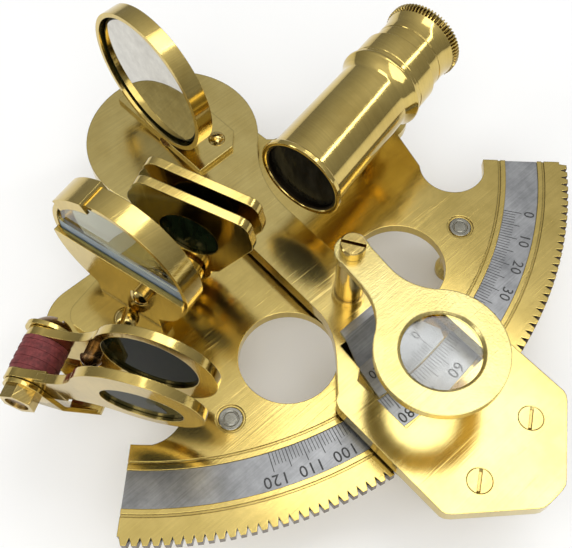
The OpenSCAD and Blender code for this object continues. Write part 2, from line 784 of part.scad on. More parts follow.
module magnifier_arm() {
  color(brass) on_magnifier() difference() {
    linear_extrude(magnifier_t)
      necked_link(magnifier_eye_r, lens_ring_r, magnifier_len, magnifier_neck, magnifier_fillet_r);
    translate([0, 0, -1]) cylinder(r = magnifier_pin_r + fit, h = magnifier_t + 2);
    translate([magnifier_len, 0, -1]) cylinder(r = lens_r, h = magnifier_t + 2);
    translate([magnifier_len, 0, -1]) cylinder(r = lens_r + 0.7, h = 1 + magnifier_t - 0.6);
    translate([magnifier_len, 0, magnifier_t - 0.5])
      cylinder(r1 = lens_r - 0.01, r2 = lens_r + 0.5, h = 0.51);
  }
}

module magnifier_lens() {
  color(clear_glass) on_magnifier() translate([magnifier_len, 0, 0.1])
    cylinder(r = lens_r + 0.7 - fit, h = magnifier_t - 0.75);
}

// Index shades

module on_index_pin() {
  upright(index_shade_pos, index_pin_h, index_shade_az) children();
}

// Ear beside the front shade, with a foot that stays clear of the arm
module index_shade_bracket() {
  ear_z = index_shade_t / 2 + 0.5;
  inset = 0.2;
  color(brass) {
    on_index_pin() translate([0, 0, ear_z]) difference() {
      linear_extrude(index_ear_t) {
        circle(r = 3.6);
        polygon([[-5.8, inset - index_pin_h], [-0.6, inset - index_pin_h], [-0.6, -3], [1, 0],
          [-3.2, 1], [-5.8, -2.4]]);
      }
      translate([0, 0, -1]) cylinder(r = index_pin_r + fit, h = 4);
    }
    difference() {
      upright(index_shade_pos, 0, index_shade_az) rotate([-90, 0, 0]) linear_extrude(sheet_t + 0.1)
        translate([-11.8, inset - ear_z - index_ear_t]) square([8, ear_z + index_ear_t + 2.4]);
      place_on_shade_line(index_foot_screw[0], index_foot_screw[1], -1) cylinder(r = 1.1, h = 4);
    }
  }
}

module index_shade_screw() {
  color(brass) {
    place_on_shade_line(index_foot_screw[0], index_foot_screw[1], sheet_t + 0.1) slotted_head(2.1, 1.4);
    place_on_shade_line(index_foot_screw[0], index_foot_screw[1], -1.3) cylinder(r = 1, h = 2.6);
  }
}

// The pin is riveted in the ear and headed behind the back shade
module index_shade_pin() {
  tail = index_shade_t / 2 + 0.5 + index_ear_t;
  back = -index_shade_pitch - index_shade_t / 2 - side_gap;
  color(brass) on_index_pin() {
    translate([0, 0, back - 0.1]) cylinder(r = index_pin_r, h = tail - back + 0.3);
    translate([0, 0, back]) mirror([0, 0, 1]) slotted_head(2.3, 1.3);
    translate([0, 0, tail]) round_head(1.9, 0.9);
  }
}

module index_shade_spacers() {
  color(dark_brass) on_index_pin() {
    translate([0, 0, index_shade_t / 2 + side_gap]) washer(2.8, index_pin_r, 0.5 - side_gap);
    translate([0, 0, -index_shade_pitch + index_shade_t / 2 + side_gap])
      washer(2.8, index_pin_r, index_shade_pitch - index_shade_t - 2 * side_gap);
  }
}

module washer(outer_r, inner_r, h) {
  difference() {
    cylinder(r = outer_r, h = h);
    translate([0, 0, -1]) cylinder(r = inner_r + fit, h = h + 2);
  }
}

module index_shade_outline() {
  half = index_shade_w / 2;
  h = index_shade_h;
  corner = 2.6;
  top_half = half - 0.9;
  circle(r = index_shade_foot_r);
  polygon([
    [-4.7, 0.8], [4.7, 0.8], [5.3, 1.2], [6.2, 2.1], [0.72 * half, 0.33 * h], [half, 0.7 * h],
    [half - 0.15, 0.78 * h], [top_half, h - corner], [top_half - corner, h], [corner - top_half, h],
    [-top_half, h - corner], [0.15 - half, 0.78 * h], [-half, 0.7 * h], [-0.72 * half, 0.33 * h],
    [-6.2, 2.1],
    [-5.3, 1.2]
  ]);
  for (side = [-1, 1]) translate([side * (top_half - corner), h - corner]) circle(r = corner);
}

module index_shade(z) {
  seat = 0.9;
  color(brass) on_index_pin() translate([0, 0, z - index_shade_t / 2]) rotate([0, 0, -index_shade_lean])
    difference() {
    linear_extrude(index_shade_t) index_shade_outline();
    translate([0, 0, -1]) cylinder(r = index_pin_r + fit, h = index_shade_t + 2);
    translate([0, index_glass_h, -1]) cylinder(r = index_shade_glass_r, h = index_shade_t + 2);
    translate([0, index_glass_h, -1]) cylinder(r = index_shade_glass_r + 0.8, h = 1 + seat);
  }
}

module index_shade_glass(z) {
  color(shade_glass) on_index_pin() translate([0, 0, z - index_shade_t / 2])
    rotate([0, 0, -index_shade_lean])
    translate([0, index_glass_h, 0]) cylinder(r = index_shade_glass_r + 0.8 - fit, h = 0.88);
}

module index_shade_front() { index_shade(0); }

module index_shade_front_glass() { index_shade_glass(0); }

module index_shade_back() { index_shade(-index_shade_pitch); }

module index_shade_back_glass() { index_shade_glass(-index_shade_pitch); }

// Horizon mirror

module on_horizon_cell() {
  upright(horizon_pos, horizon_centre_h, horizon_az) children();
}

// Half round back plate bent into a foot with rounded corners
module horizon_bracket() {
  foot_t = 1.2;
  color(brass) {
    on_horizon_cell() translate([0, 0, -sheet_t - fit]) linear_extrude(sheet_t) difference() {
      union() {
        circle(r = horizon_cell_r - 0.4);
        translate([-7, -horizon_centre_h]) square([14, 6]);
      }
      translate([-20, horizon_plate_edge]) square([40, 40]);
      translate(adjuster_at) circle(r = 1 + fit);
    }
    difference() {
      upright(horizon_pos, 0, horizon_az) translate([0, 0, -fit]) rotate([-90, 0, 0]) linear_extrude(foot_t)
        rounded_tongue(horizon_foot_half, horizon_foot_len, horizon_foot_round);
      place_on_horizon_foot(horizon_foot_screw[0], horizon_foot_screw[1], -1) cylinder(r = 1.1, h = 4);
    }
  }
}

module horizon_bracket_screw() {
  color(brass) {
    place_on_horizon_foot(horizon_foot_screw[0], horizon_foot_screw[1], 1.2) rotate([0, 0, -70])
      round_head(2.4, 1.7);
    place_on_horizon_foot(horizon_foot_screw[0], horizon_foot_screw[1], -1.3) cylinder(r = 1, h = 2.8);
  }
}

// Ring with a lip at each face
module horizon_cell() {
  color(brass) on_horizon_cell() difference() {
    cylinder(r = horizon_cell_r, h = horizon_cell_depth);
    translate([0, 0, -1]) cylinder(r = horizon_cell_r - cell_wall,
      h = horizon_cell_depth - horizon_lip_t + 1);
    translate([0, 0, -1]) cylinder(r = horizon_cell_r - cell_wall - 0.8, h = horizon_cell_depth + 2);
  }
}

module horizon_glass() {
  color(clear_glass) on_horizon_cell() translate([0, 0, horizon_glass_z])
    cylinder(r = horizon_cell_r - cell_wall - fit, h = mirror_t);
}

// Silvered and painted lower half, on the back of the glass
module horizon_silvering() {
  color(silver) on_horizon_cell() translate([0, 0, horizon_glass_z - silver_t]) difference() {
    cylinder(r = horizon_cell_r - cell_wall - fit, h = silver_t);
    translate([-20, silver_edge, -1]) cube([40, 40, 3]);
  }
}

// Sprung clip over the top of the cell
module horizon_clip() {
  half = 4.2;
  lip = 1.5;
  color(brass) on_horizon_cell() rotate([0, 0, clip_turn]) intersection() {
    difference() {
      translate([0, 0, -0.6]) cylinder(r = horizon_cell_r + 0.6, h = horizon_cell_depth + 1.2);
      translate([0, 0, 0]) cylinder(r = horizon_cell_r + fit, h = horizon_cell_depth);
      translate([0, 0, -2]) cylinder(r = horizon_cell_r - lip, h = horizon_cell_depth + 4);
    }
    translate([-half, 0, -5]) cube([2 * half, 30, 20]);
  }
}

// Screw through the back plate that tilts the mirror
module horizon_adjuster() {
  reach = horizon_glass_z - silver_t;
  stub = 1.2;
  color(brass) on_horizon_cell() translate([adjuster_at[0], adjuster_at[1], -sheet_t - fit]) {
    translate([0, 0, -stub]) cylinder(r = 1.5, h = stub);
    translate([0, 0, -stub]) mirror([0, 0, 1]) round_head(1.9, 1.1);
    translate([0, 0, -0.3]) cylinder(r = 1, h = sheet_t + reach + 0.3);
  }
}

// Horizon shades

module on_rod() {
  upright(rod_pos, rod_h, horizon_shade_az) children();
}

// Outline of an ear whose strap reaches the bracket's base between two distances across the rod
module ear_outline(r, from, to) {
  foot = -rod_h - plate_t - bracket_base_t;
  circle(r = r);
  polygon([[-r + 0.2, -0.8], [from, foot], [to, foot], [r - 0.2, 0.8]]);
}

// The near ear's strap is bent inwards below the rod
module near_ear() {
  foot = -rod_h - plate_t - bracket_base_t;
  front = near_ear_z + ear_t;
  on_rod() difference() {
    intersection() {
      translate([0, 0, near_ear_z - strap_lean - 1]) linear_extrude(strap_lean + ear_t + 2)
        ear_outline(ear_r, strap_in, strap_out);
      translate([20, 0, 0]) rotate([0, -90, 0]) linear_extrude(40) polygon([
        [near_ear_z, 2 * ear_r], [near_ear_z, -strap_bend], [near_ear_z - strap_lean, foot],
        [front - strap_lean, foot],
        [front, -strap_bend], [front, 2 * ear_r]
      ]);
    }
    translate([0, 0, near_ear_z - 1]) cylinder(r = rod_r + fit, h = ear_t + 2);
  }
}

// Two ears on a base that is screwed under the cross bar's end
module horizon_shade_bracket() {
  near = near_ear_z + ear_t - strap_lean;
  color(brass) {
    near_ear();
    on_rod() translate([0, 0, far_ear_z]) linear_extrude(ear_t) difference() {
      ear_outline(far_ear_r, -ear_r, ear_r - 0.4);
      circle(r = rod_r + fit);
    }
    difference() {
      upright(rod_pos, -plate_t - bracket_base_t, horizon_shade_az) rotate([-90, 0, 0])
        linear_extrude(bracket_base_t) polygon([
          [strap_in, -near], [strap_out, -near], [strap_out, 2], [ear_r - 0.4, 5],
          [ear_r - 0.4, -bracket_inboard], [-ear_r, -bracket_inboard], [-ear_r, -far_ear_z - ear_t],
          [strap_in, -3]
        ]);
      for (z = bracket_screw_z) place_on_rod_line(bracket_screw_x, z, -plate_t - 3)
        cylinder(r = 1.1, h = 4);
    }
  }
}

module shade_bracket_screws() {
  color(brass) for (z = bracket_screw_z) {
    place_on_rod_line(bracket_screw_x, z, -plate_t - bracket_base_t) mirror([0, 0, 1]) slotted_head(2, 1.3);
    place_on_rod_line(bracket_screw_x, z, -plate_t - bracket_base_t - 0.1)
      cylinder(r = 1, h = bracket_base_t + 1.2);
  }
}

// Headed rod, the head is behind the far ear and the end takes the nut
module shade_rod() {
  color(dark_brass) on_rod() {
    translate([0, 0, far_ear_z - 0.1])
      cylinder(r = rod_r, h = near_ear_z + ear_t + nut_len - far_ear_z - 0.3);
    translate([0, 0, far_ear_z]) mirror([0, 0, 1]) rotate([0, 0, 60]) round_head(3.8, 2.6);
  }
}

module shade_rod_nut() {
  color(brass) on_rod() translate([0, 0, near_ear_z + ear_t]) difference() {
    rotate([0, 0, 30]) cylinder(r = nut_flats / sqrt(3), h = nut_len, $fn = 6);
    translate([0, 0, -1]) cylinder(r = rod_r + fit, h = nut_len + 2);
  }
}

module fibre_washers() {
  color(fibre_red) on_rod() for (i = [0 : washer_count - 1])
    translate([0, 0, horizon_shade_t / 2 + side_gap + i * (washer_t + washer_gap)])
      washer(washer_r - 0.12 * (i % 2), rod_r, washer_t);
}

// Round shade on a necked arm, with its glass let into the far face.
// A lean twists the round end about the arm, the eye stays square to the rod.
module horizon_shade(z, lift, lean, len, glass_at, opening_r) {
  half_t = horizon_shade_t / 2;
  color(brass) on_rod() translate([0, 0, z]) rotate([0, 0, lift]) difference() {
    union() {
      translate([0, 0, -half_t]) linear_extrude(horizon_shade_t) {
        circle(r = shade_eye_r);
        translate([0, -shade_neck]) square([lean_start + 1.5, 2 * shade_neck]);
      }
      rotate([lean, 0, 0]) translate([0, 0, -half_t]) linear_extrude(horizon_shade_t) difference() {
        necked_link(shade_eye_r, horizon_shade_r, len, shade_neck, shade_fillet_r);
        translate([-10, -10]) square([10 + lean_start, 20]);
      }
    }
    translate([0, 0, -5]) cylinder(r = rod_r + fit, h = 10);
    rotate([lean, 0, 0]) translate([len + glass_at[0], glass_at[1], -half_t]) {
      translate([0, 0, -1]) cylinder(r = opening_r, h = horizon_shade_t + 2);
      translate([0, 0, -1]) cylinder(r = opening_r + glass_rim, h = 1 + glass_seat);
    }
    if (z == 0) translate([stop_at[0], stop_at[1], half_t - 0.8]) cylinder(r = 0.8 + fit, h = 2);
  }
}

module horizon_shade_glass(z, lift, lean, len, glass_at, opening_r) {
  color(shade_glass) on_rod() translate([0, 0, z]) rotate([0, 0, lift]) rotate([lean, 0, 0])
    translate([len + glass_at[0], glass_at[1], -horizon_shade_t / 2])
      cylinder(r = opening_r + glass_rim - fit, h = glass_seat - 0.02);
}

module horizon_shade_rear() { horizon_shade(0, rear_lift, 0, rear_shade_len, rear_glass_at, rear_glass_r); }

module horizon_rear_glass() { horizon_shade_glass(0, rear_lift, 0, rear_shade_len, rear_glass_at,
  rear_glass_r); }

module horizon_shade_front() {
  horizon_shade(front_shade_z, front_lift, front_lean, front_shade_len, front_glass_at, front_glass_r);
}

module horizon_front_glass() {
  horizon_shade_glass(front_shade_z, front_lift, front_lean, front_shade_len, front_glass_at,
    front_glass_r);
}

// Finger stop on the rear shade's arm
module shade_stop() {
  color(brass) on_rod() rotate([0, 0, rear_lift]) translate([stop_at[0], stop_at[1], horizon_shade_t / 2]) {
    translate([0, 0, -0.7]) cylinder(r = 0.8, h = 1);
    cylinder(r = 1.5, h = 1.4);
    translate([0, 0, 1.4]) round_head(1.9, 1.5);
  }
}

// Telescope

module on_axis() {
  translate([telescope_pos[0], telescope_pos[1], top + axis_h]) rotate([0, 90, telescope_az]) children();
}

// Pillar from the cross bar to the underside of the sleeve
module telescope_post() {
  color(brass) difference() {
    place_on_telescope(post_s, post_u, 0) {
      cylinder(r = post_r, h = axis_h - 3);
      cylinder(r = post_r + 0.5, h = 1.2);
    }
    on_axis() translate([0, 0, post_s - 10]) cylinder(r = sleeve_r + 0.02, h = 20);
    place_on_telescope(post_s, post_u, -1) cylinder(r = 1.3 + fit, h = 5);
  }
}

module telescope_post_screw() {
  color(brass) {
    place_on_telescope(post_s, post_u, -plate_t) mirror([0, 0, 1]) slotted_head(2.6, 1.6);
    place_on_telescope(post_s, post_u, -plate_t - 0.1) cylinder(r = 1.3, h = plate_t + 3.6);
  }
}

// Tube with a lip at the objective and a swelling collar at the other end
module telescope_tube() {
  swell = collar_full - collar_start;
  seat = tube_len - sleeve_seat;
  lens_back = lens_front + front_lens_t;
  color(brass) on_axis() rotate_extrude() polygon(concat(
    [[lip_r - 0.6, 0], [lip_r, 0], [lip_r, lip_len - 0.2], [lip_r - 0.2, lip_len], [tube_r, lip_len]],
    [for (i = [0 : 10])
      [tube_end_r + (collar_r - tube_end_r) * (1 - cos(9 * i)), collar_start + swell * i / 10]],
    [[collar_r, tube_len - 0.3], [collar_r - 0.25, tube_len], [sleeve_r + fit, tube_len],
    [sleeve_r + fit, seat],
      [draw_r + 0.1, seat], [draw_r + 0.1, seat - 1.2], [tube_bore, seat - 1.2], [tube_bore, lens_back],
      [front_lens_r + fit, lens_back], [front_lens_r + fit, lens_front - 0.3]]
  ));
}

module objective_lens() {
  color(shade_glass) on_axis() translate([0, 0, lens_front]) cylinder(r = front_lens_r, h = front_lens_t);
}

module telescope_sleeve() {
  color(brass) on_axis() translate([0, 0, tube_len - sleeve_seat]) difference() {
    cylinder(r = sleeve_r, h = sleeve_len + sleeve_seat);
    translate([0, 0, -1]) cylinder(r = draw_r + fit, h = sleeve_len + sleeve_seat + 2);
  }
}

// Draw tube that slides in the sleeve, with a flared and knurled flange at the eye
module eyepiece() {
  start = tube_len + sleeve_len;
  end = start + eyepiece_len;
  bore = draw_r - 0.7;
  flare = end - flange_t - 3.6;
  color(brass) on_axis() rotate_extrude() polygon(concat(
    [[bore, start - draw_inside], [draw_r, start - draw_inside], [draw_r, flare]],
    [for (i = [1 : 6]) [draw_r + (flange_r - 0.25 - draw_r) * (1 - cos(15 * i)), flare + 0.6 * i]],
    [[flange_r, end - flange_t + 0.2], [flange_r, end - 0.3], [flange_r - 0.3, end], [4, end],
    [4, end - 1.2],
      [bore, end - 1.2]]
  ));
}

module eye_lens() {
  color(clear_glass) on_axis() translate([0, 0, tube_len + sleeve_len + eyepiece_len - 1.2 - 1.6])
    cylinder(r = draw_r - 0.7 - fit, h = 1.6);
}

frame();
scale_strip();
legs();
centre_bush();
pivot_cap();
index_spindle();
spindle_washer();
spindle_nut();
index_arm();
vernier_plate();
pinion_block();
block_screws();
pinion();
pinion_knob();
knob_screw();
index_mirror_bracket();
index_mirror_cell();
index_mirror_glass();
index_mirror_screws();
magnifier_post();
magnifier_screw();
magnifier_arm();
magnifier_lens();
index_shade_bracket();
index_shade_screw();
index_shade_pin();
index_shade_spacers();
index_shade_front();
index_shade_front_glass();
index_shade_back();
index_shade_back_glass();
horizon_bracket();
horizon_bracket_screw();
horizon_cell();
horizon_glass();
horizon_silvering();
horizon_clip();
horizon_adjuster();
horizon_shade_bracket();
shade_bracket_screws();
shade_rod();
shade_rod_nut();
fibre_washers();
horizon_shade_rear();
horizon_rear_glass();
shade_stop();
horizon_shade_front();
horizon_front_glass();
telescope_post();
telescope_post_screw();
telescope_tube();
objective_lens();
telescope_sleeve();
eyepiece();
eye_lens();
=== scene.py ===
"""Brass pocket sextant: looks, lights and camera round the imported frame."""
import math

import bmesh
import bpy
from mathutils import Matrix, Vector


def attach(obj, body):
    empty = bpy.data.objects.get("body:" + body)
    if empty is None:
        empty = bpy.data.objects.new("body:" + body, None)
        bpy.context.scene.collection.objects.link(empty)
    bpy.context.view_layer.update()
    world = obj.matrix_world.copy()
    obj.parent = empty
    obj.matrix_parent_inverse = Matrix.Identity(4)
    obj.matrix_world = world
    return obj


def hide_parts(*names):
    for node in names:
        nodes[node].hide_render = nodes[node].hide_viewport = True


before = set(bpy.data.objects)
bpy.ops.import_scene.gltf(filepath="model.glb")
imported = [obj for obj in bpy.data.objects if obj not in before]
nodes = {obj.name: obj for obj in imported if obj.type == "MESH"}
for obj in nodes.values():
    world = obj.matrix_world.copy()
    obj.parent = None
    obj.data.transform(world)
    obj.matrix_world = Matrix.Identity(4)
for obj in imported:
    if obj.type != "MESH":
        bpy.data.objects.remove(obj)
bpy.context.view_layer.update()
scene = bpy.context.scene

MM = 0.001

# Tops of the frame plate, of its silvered strip and of the vernier, in mm above the feet
PLATE_TOP = 17.0
STRIP_TOP = PLATE_TOP - 0.25
VERNIER_TOP = PLATE_TOP + 0.75

# Radius in mm just inside the roots of the limb's teeth
TOOTH_ROOT = 78.4

# Legs under the limb, to both sides, and the magnifier's post, in mm
LEG_AT = (29.3, -52.2)
MAGNIFIER_POST_AT = (1.3, -49.6)

# Telescope: the objective's front centre in mm and the direction in degrees
TEL_AT = (4.64, -32.72, PLATE_TOP + 18.6)
TEL_AZ = 11.9

# Scale: degrees round the pivot of its zero and of one division, and the number of divisions
SCALE_ZERO = -55.0
DIVISION = 0.5
DIVISIONS = 120

# Vernier: the same for its zero and its divisions
VERNIER_ZERO = -85.0
VERNIER_DIVISION = 0.475
VERNIER_DIVISIONS = 20

# Direction that the back of the horizon mirror faces
HORIZON_BACK = (-0.971, -0.239, 0.0)

# Radii in mm where the marks of the two start, at the line between them, and their height
SCALE_INNER = 67.55
VERNIER_OUTER = 67.15
MARK_HEIGHT = 0.03


def set_camera():
    """Camera at the photograph's place, with its small shift."""
    right = Vector((0.73174213, -0.68137419, 0.01681282))
    down = Vector((-0.59083603, -0.64642315, -0.48275242))
    forward = Vector((0.33980324, 0.34331667, -0.87559547))
    data = bpy.data.cameras.new("view")
    data.sensor_width = 36.0
    data.lens = 56.096
    data.shift_x = -0.05974
    data.shift_y = 0.02743
    data.clip_start = 0.005
    data.clip_end = 20.0
    obj = bpy.data.objects.new("view", data)
    turn = Matrix((right, -down, -forward)).transposed().to_4x4()
    place = (-0.0572287, -0.1013512, 0.1462296 + PLATE_TOP * MM)
    obj.matrix_world = Matrix.Translation(place) @ turn
    scene.collection.objects.link(obj)
    scene.camera = obj


# Shader helpers

def shader(name):
    """New material with its node tree and its surface shader."""
    mat = bpy.data.materials.new(name)
    mat.use_nodes = True
    tree = mat.node_tree
    return mat, tree, tree.nodes["Principled BSDF"]


def add(tree, kind, **values):
    """New node whose inputs and settings take the values of their names."""
    node = tree.nodes.new(kind)
    for key, value in values.items():
        if key in node.inputs:
            node.inputs[key].default_value = value
        else:
            setattr(node, key, value)
    return node


def ramp(tree, source, stops):
    """Colours between stops of (place, colour)."""
    node = tree.nodes.new("ShaderNodeValToRGB")
    tree.links.new(source, node.inputs["Fac"])
    band = node.color_ramp
    while len(band.elements) < len(stops):
        band.elements.new(0.5)
    for element, (place, value) in zip(band.elements, stops):
        element.position = place
        element.color = value if len(value) == 4 else (*value, 1.0)
    return node.outputs["Color"]


def grey(value):
    return (value, value, value, 1.0)


def multiply(tree, first, second):
    """Product of two colours."""
    mix = add(tree, "ShaderNodeMix", data_type="RGBA", blend_type="MULTIPLY")
    mix.inputs["Factor"].default_value = 1.0
    tree.links.new(first, mix.inputs["A"])
    tree.links.new(second, mix.inputs["B"])
    return mix.outputs["Result"]


def maths(tree, operation, first, second):
    """One sum of two values or outputs."""
    node = add(tree, "ShaderNodeMath", operation=operation)
    for socket, value in zip(node.inputs, (first, second)):
        if isinstance(value, (int, float)):
            socket.default_value = value
        else:
            tree.links.new(value, socket)
    return node.outputs["Value"]


def streaks(tree, coords, turn, scale, detail=2.0):
    """Noise drawn out along one direction. The scale is in lines per metre along x, y and z."""
    place = add(tree, "ShaderNodeMapping")
    place.inputs["Rotation"].default_value = [math.radians(v) for v in turn]
    place.inputs["Scale"].default_value = scale
    tree.links.new(coords, place.inputs["Vector"])
    noise = add(tree, "ShaderNodeTexNoise", Scale=1.0, Detail=detail, Roughness=0.6)
    tree.links.new(place.outputs["Vector"], noise.inputs["Vector"])
    return noise.outputs["Fac"]


def brass(name, light, deep, rough, grain, turn=(0, 0, 0), grain_scale=(60, 5200, 60), edge=0.15,
          scratch=0.3, teeth=False, pebble=0.0):
    """Polished metal: cloudy tone, polishing lines, crossing scratches, painted shade in corners, rounded
    edges.

    Grain, scratch and pebble are strengths, edge is in mm, and the turn and scale place the lines.
    """
    mat, tree, bsdf = shader(name)
    links = tree.links
    coords = add(tree, "ShaderNodeTexCoord").outputs["Object"]
    bsdf.inputs["Metallic"].default_value = 1.0
    cloud = add(tree, "ShaderNodeTexNoise", Scale=110.0, Detail=4.0, Roughness=0.65)
    links.new(coords, cloud.inputs["Vector"])
    tone = ramp(tree, cloud.outputs["Fac"], [(0.32, deep), (0.62, light)])
    lines = streaks(tree, coords, turn, grain_scale)
    crossing = streaks(tree, coords, (turn[0], turn[1], turn[2] + 37), (40, 1900, 40), 4.0)
    marks = ramp(tree, crossing, [(0.60, grey(0.0)), (0.70, grey(1.0))])
    tone = multiply(tree, tone, ramp(tree, lines, [(0.3, grey(0.88)), (0.7, grey(1.0))]))
    # Painted shade: the base colour darkens where ambient occlusion finds corners, slots and grooves.
    corner = add(tree, "ShaderNodeAmbientOcclusion", samples=6, only_local=True, Distance=0.0009)
    painted_corner_shade = ramp(tree, corner.outputs["AO"], [(0.30, (0.16, 0.11, 0.06)), (0.78, (1.0, 1.0, 1.0))])
    tone = multiply(tree, tone, painted_corner_shade)
    # Painted shade on the upright faces of the limb's teeth.
    if teeth:
        tone = multiply(tree, tone, tooth_flanks(tree, coords))
    links.new(tone, bsdf.inputs["Base Color"])
    span = add(tree, "ShaderNodeMapRange")
    span.inputs["To Min"].default_value = max(0.03, rough - 0.03)
    span.inputs["To Max"].default_value = rough + 0.06
    links.new(lines, span.inputs["Value"])
    links.new(span.outputs["Result"], bsdf.inputs["Roughness"])
    rounded = add(tree, "ShaderNodeBevel", samples=6, Radius=edge * MM)
    first = add(tree, "ShaderNodeBump", Strength=grain, Distance=0.00003)
    links.new(lines, first.inputs["Height"])
    links.new(rounded.outputs["Normal"], first.inputs["Normal"])
    second = add(tree, "ShaderNodeBump", Strength=scratch, Distance=0.00002)
    links.new(marks, second.inputs["Height"])
    links.new(first.outputs["Normal"], second.inputs["Normal"])
    normal = second.outputs["Normal"]
    if pebble:
        fleck = add(tree, "ShaderNodeTexNoise", Scale=2600.0, Detail=2.0, Roughness=0.5)
        links.new(coords, fleck.inputs["Vector"])
        third = add(tree, "ShaderNodeBump", Strength=pebble, Distance=0.00006)
        links.new(fleck.outputs["Fac"], third.inputs["Height"])
        links.new(normal, third.inputs["Normal"])
        normal = third.outputs["Normal"]
    links.new(normal, bsdf.inputs["Normal"])
    return mat


def tooth_flanks(tree, coords):
    """Painted shade: darker colour on the upright faces of the limb's teeth."""
    flat = add(tree, "ShaderNodeMapping")
    flat.inputs["Scale"].default_value = (1, 1, 0)
    tree.links.new(coords, flat.inputs["Vector"])
    reach = add(tree, "ShaderNodeVectorMath", operation="LENGTH")
    tree.links.new(flat.outputs["Vector"], reach.inputs[0])
    parts = add(tree, "ShaderNodeSeparateXYZ")
    tree.links.new(add(tree, "ShaderNodeNewGeometry").outputs["True Normal"], parts.inputs["Vector"])
    upright = maths(tree, "LESS_THAN", maths(tree, "ABSOLUTE", parts.outputs["Z"], 0.0), 0.5)
    outside = maths(tree, "GREATER_THAN", reach.outputs["Value"], TOOTH_ROOT * MM)
    tooth_shade_mask = maths(tree, "MULTIPLY", upright, outside)
    return ramp(tree, tooth_shade_mask, [(0.0, grey(1.0)), (1.0, (0.10, 0.07, 0.04))])


def silver_strip():
    """Brushed grey strip with long scratches across it."""
    mat, tree, bsdf = shader("silvered_scale")
    links = tree.links
    coords = add(tree, "ShaderNodeTexCoord").outputs["Object"]
    bsdf.inputs["Metallic"].default_value = 1.0
    lines = streaks(tree, coords, (0, 0, 14), (60, 4200, 60), 3.0)
    cloud = add(tree, "ShaderNodeTexNoise", Scale=130.0, Detail=5.0, Roughness=0.7)
    links.new(coords, cloud.inputs["Vector"])
    tone = ramp(tree, cloud.outputs["Fac"], [(0.3, (0.22, 0.225, 0.23)), (0.7, (0.44, 0.445, 0.45))])
    tone = multiply(tree, tone, ramp(tree, lines, [(0.3, grey(0.72)), (0.7, grey(1.0))]))
    links.new(tone, bsdf.inputs["Base Color"])
    links.new(ramp(tree, lines, [(0.2, grey(0.28)), (0.8, grey(0.46))]), bsdf.inputs["Roughness"])
    bump = add(tree, "ShaderNodeBump", Strength=0.35, Distance=0.00003)
    links.new(lines, bump.inputs["Height"])
    links.new(bump.outputs["Normal"], bsdf.inputs["Normal"])
    return mat


def mirror():
    """Old silvering under glass, a little dusty."""
    mat, tree, bsdf = shader("mirror_glass")
    coords = add(tree, "ShaderNodeTexCoord").outputs["Object"]
    bsdf.inputs["Metallic"].default_value = 1.0
    dust = add(tree, "ShaderNodeTexNoise", Scale=420.0, Detail=5.0, Roughness=0.7)
    tree.links.new(coords, dust.inputs["Vector"])
    tone = ramp(tree, dust.outputs["Fac"], [(0.35, (0.52, 0.50, 0.45)), (0.7, (0.66, 0.64, 0.58))])
    tree.links.new(tone, bsdf.inputs["Base Color"])
    haze = ramp(tree, dust.outputs["Fac"], [(0.4, grey(0.02)), (0.8, grey(0.09))])
    tree.links.new(haze, bsdf.inputs["Roughness"])
    return mat


def dark_glass(name, tint):
    """Deep tinted glass with dust and wipe marks, so dark that only its gloss shows."""
    mat, tree, bsdf = shader(name)
    coords = add(tree, "ShaderNodeTexCoord").outputs["Object"]
    smear = streaks(tree, coords, (20, 30, 50), (90, 700, 200), 4.0)
    dusty = tuple(2.6 * v for v in tint)
    tree.links.new(ramp(tree, smear, [(0.4, tint), (0.75, dusty)]), bsdf.inputs["Base Color"])
    tree.links.new(ramp(tree, smear, [(0.4, grey(0.03)), (0.8, grey(0.22))]), bsdf.inputs["Roughness"])
    bsdf.inputs["IOR"].default_value = 1.1
    return mat


def clear_glass(name, tint):
    """Glass that lets lamps through to what is under it."""
    mat, tree, bsdf = shader(name)
    bsdf.inputs["Base Color"].default_value = (*tint, 1.0)
    bsdf.inputs["Transmission Weight"].default_value = 1.0
    bsdf.inputs["IOR"].default_value = 1.5
    coords = add(tree, "ShaderNodeTexCoord").outputs["Object"]
    smear = streaks(tree, coords, (0, 0, 30), (80, 500, 80), 3.0)
    tree.links.new(ramp(tree, smear, [(0.5, grey(0.0)), (0.9, grey(0.05))]), bsdf.inputs["Roughness"])
    through = add(tree, "ShaderNodeBsdfTransparent")
    light = add(tree, "ShaderNodeLightPath")
    blend = add(tree, "ShaderNodeMixShader")
    tree.links.new(light.outputs["Is Shadow Ray"], blend.inputs["Fac"])
    tree.links.new(bsdf.outputs["BSDF"], blend.inputs[1])
    tree.links.new(through.outputs["BSDF"], blend.inputs[2])
    tree.links.new(blend.outputs["Shader"], tree.nodes["Material Output"].inputs["Surface"])
    return mat


def painted_silvering():
    """Mirror on the side towards the glass, pale blue-grey backing paint on the other one."""
    mat, tree, bsdf = shader("painted_silvering")
    coords = add(tree, "ShaderNodeTexCoord").outputs["Object"]
    normal = add(tree, "ShaderNodeNewGeometry").outputs["True Normal"]
    facing = add(tree, "ShaderNodeVectorMath", operation="DOT_PRODUCT")
    facing.inputs[1].default_value = HORIZON_BACK
    tree.links.new(normal, facing.inputs[0])
    back = maths(tree, "GREATER_THAN", facing.outputs["Value"], 0.5)
    wear = streaks(tree, coords, (0, 0, 14), (300, 300, 900), 4.0)
    paint = ramp(tree, wear, [(0.3, (0.22, 0.29, 0.36)), (0.7, (0.36, 0.44, 0.52))])
    mix = add(tree, "ShaderNodeMix", data_type="RGBA")
    tree.links.new(back, mix.inputs["Factor"])
    mix.inputs["A"].default_value = (0.80, 0.83, 0.82, 1.0)
    tree.links.new(paint, mix.inputs["B"])
    tree.links.new(mix.outputs["Result"], bsdf.inputs["Base Color"])
    tree.links.new(maths(tree, "SUBTRACT", 1.0, back), bsdf.inputs["Metallic"])
    tree.links.new(ramp(tree, back, [(0.0, grey(0.03)), (1.0, grey(0.45))]), bsdf.inputs["Roughness"])
    return mat


